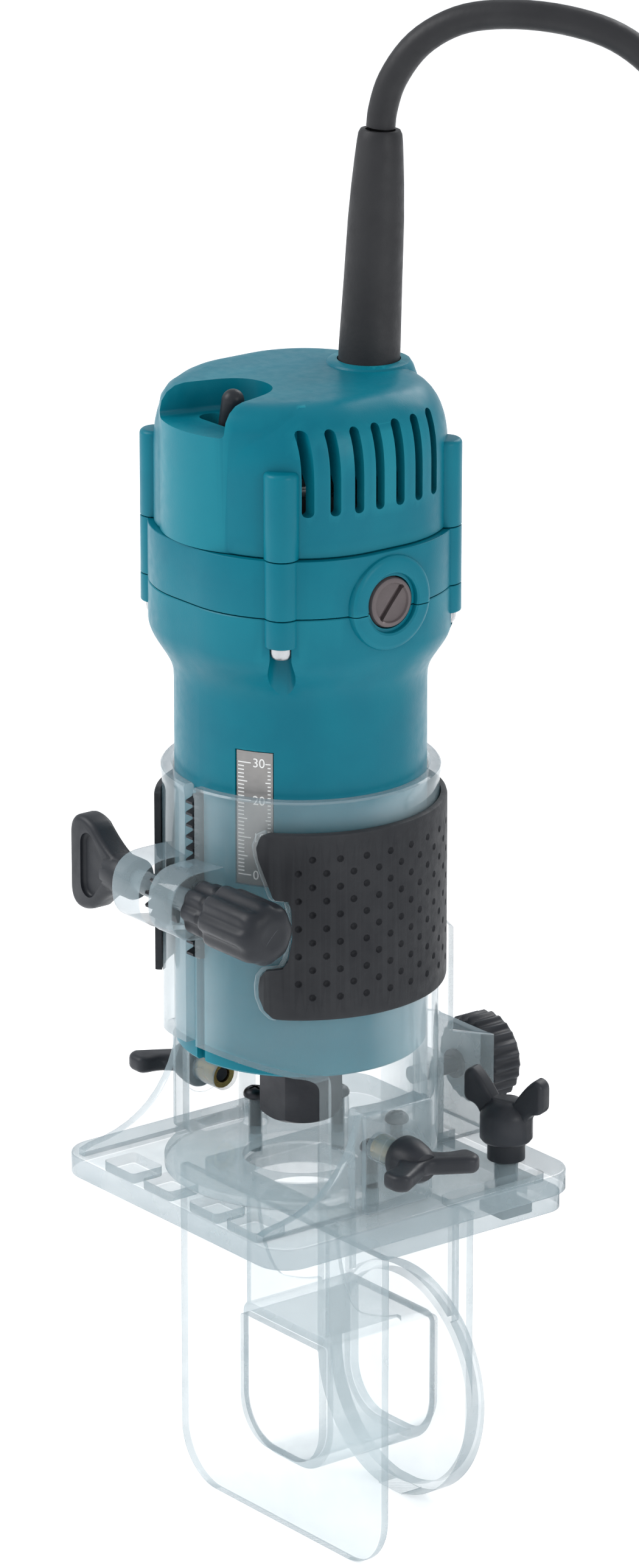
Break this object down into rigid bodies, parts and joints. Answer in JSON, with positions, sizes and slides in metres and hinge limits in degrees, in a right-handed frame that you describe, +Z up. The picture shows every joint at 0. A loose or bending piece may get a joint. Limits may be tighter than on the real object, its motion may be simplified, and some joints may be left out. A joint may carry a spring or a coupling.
{
  "type": "trim router",
  "caption": "Compact trim router: round motor unit clamped in a clear sleeve base, with rack depth drive, clear edge guide with dust port, corded.",
  "frame": {"origin": "on the surface that the guide stands on, under the middle of the outline of the tool without its cord", "axes": "+Z up along the spindle, -Y to the front with the switch and the clamp, +X to the side of the depth knob"},
  "size_m": [0.124, 0.2945, 0.4089],
  "materials": {
    "clear": "clear moulded polycarbonate, polished",
    "teal": "fine moulded texture, satin",
    "black_plastic": "fine moulded texture",
    "rubber": "dimpled soft rubber",
    "cord": "smooth rubber sheath",
    "brass": "turned",
    "steel": "ground",
    "black_steel": "black oxide",
    "lamination": "stacked sheets",
    "copper": "enamelled copper wire and copper bars",
    "carbon": "pressed carbon",
    "brush_cap": "moulded phenolic, satin",
    "scale": "printed strip with ticks",
    "fan": "moulded resin"
  },
  "bodies": {
    "base": {"base_sleeve": "clear", "base_plate": "clear", "grip_pad": "rubber", "side_insert_left": "brass", "side_insert_right": "brass", "base_plate_screw_1": "black_steel", "base_plate_screw_2": "black_steel", "base_plate_screw_3": "black_steel", "base_plate_screw_4": "black_steel", "guide_lock_bolt": "black_steel", "cord_coil": "cord", "plug_body": "cord", "plug_pin_1": "steel", "plug_pin_2": "steel"},
    "depth_drive": {"depth_knob": "black_plastic", "pinion_shaft": "black_steel"},
    "clamp": {"clamp_knob": "black_plastic"},
    "side_screw_left": {"side_wing_screw_left": "black_plastic"},
    "side_screw_right": {"side_wing_screw_right": "black_plastic"},
    "guide_lock": {"guide_lock_wing_nut": "black_plastic"},
    "guide_adjuster": {"guide_adjust_screw": "black_steel", "guide_adjust_knob": "black_plastic"},
    "guide": {"guide_bracket": "clear", "guide_plate": "clear", "guide_duct": "clear", "guide_rear_flange": "clear"},
    "motor": {"barrel_housing": "teal", "middle_housing": "teal", "top_cover": "teal", "depth_scale": "scale", "rack": "black_steel", "housing_screw_1": "steel", "housing_screw_2": "steel", "housing_screw_3": "steel", "housing_screw_4": "steel", "brush_cap_left": "brush_cap", "brush_cap_right": "brush_cap", "brush_holder_left": "brass", "brush_holder_right": "brass", "carbon_brush_left": "carbon", "carbon_brush_right": "carbon", "field_core": "lamination", "field_coil_lower": "copper", "field_coil_upper": "copper", "lower_bearing": "steel", "upper_bearing": "steel", "bearing_bridge": "black_plastic", "switch_body": "black_plastic", "cord_guard": "cord", "cord_clamp": "black_plastic", "cord_run": "cord"},
    "rotor": {"spindle_shaft": "steel", "armature_core": "lamination", "armature_winding": "copper", "commutator": "copper", "cooling_fan": "fan", "collet_cone": "steel"},
    "collet": {"collet_nut": "black_steel"},
    "switch": {"switch_lever": "black_plastic"}
  },
  "joints": [
    {"name": "depth_slide", "type": "slide", "parent": "base", "child": "motor", "axis": [0, 0, 1], "range_m": [-0.019, 0.012]},
    {"name": "depth_knob_turn", "type": "hinge", "parent": "base", "child": "depth_drive", "pos_m": [0, -0.0488, 0.184], "axis": [1, 0, 0], "range_deg": [-168, 106]},
    {"name": "clamp_knob_turn", "type": "hinge", "parent": "base", "child": "clamp", "pos_m": [-0.02, -0.0488, 0.184], "axis": [1, 0, 0], "range_deg": [-270, 0]},
    {"name": "side_screw_left_turn", "type": "hinge", "parent": "base", "child": "side_screw_left", "pos_m": [-0.045, -0.0073, 0.1155], "axis": [-1, 0, 0], "range_deg": [0, 270]},
    {"name": "side_screw_right_turn", "type": "hinge", "parent": "base", "child": "side_screw_right", "pos_m": [0.045, -0.0073, 0.1155], "axis": [1, 0, 0], "range_deg": [0, 270]},
    {"name": "guide_lock_turn", "type": "hinge", "parent": "base", "child": "guide_lock", "pos_m": [0.031, 0.0367, 0.11], "axis": [0, 0, 1], "range_deg": [0, 270]},
    {"name": "guide_screw_turn", "type": "hinge", "parent": "base", "child": "guide_adjuster", "pos_m": [0, 0.0477, 0.117], "axis": [0, 1, 0], "range_deg": [-1080, 1080]},
    {"name": "guide_slide", "type": "slide", "parent": "base", "child": "guide", "axis": [0, 1, 0], "range_m": [-0.003, 0.003]},
    {"name": "spindle_spin", "type": "hinge", "parent": "motor", "child": "rotor", "pos_m": [0, -0.0073, 0.135], "axis": [0, 0, 1], "continuous": true},
    {"name": "collet_nut_turn", "type": "hinge", "parent": "rotor", "child": "collet", "pos_m": [0, -0.0073, 0.125], "axis": [0, 0, 1], "range_deg": [-180, 0]},
    {"name": "switch_toggle", "type": "hinge", "parent": "motor", "child": "switch", "pos_m": [0, -0.031, 0.3007], "axis": [0, -1, 0], "range_deg": [0, 30]}
  ],
  "couplings": [
    {"joint": "depth_knob_turn", "follows": "depth_slide", "rad_per_m": 153.85},
    {"joint": "guide_screw_turn", "follows": "guide_slide", "rad_per_m": -6283.2}
  ]
}
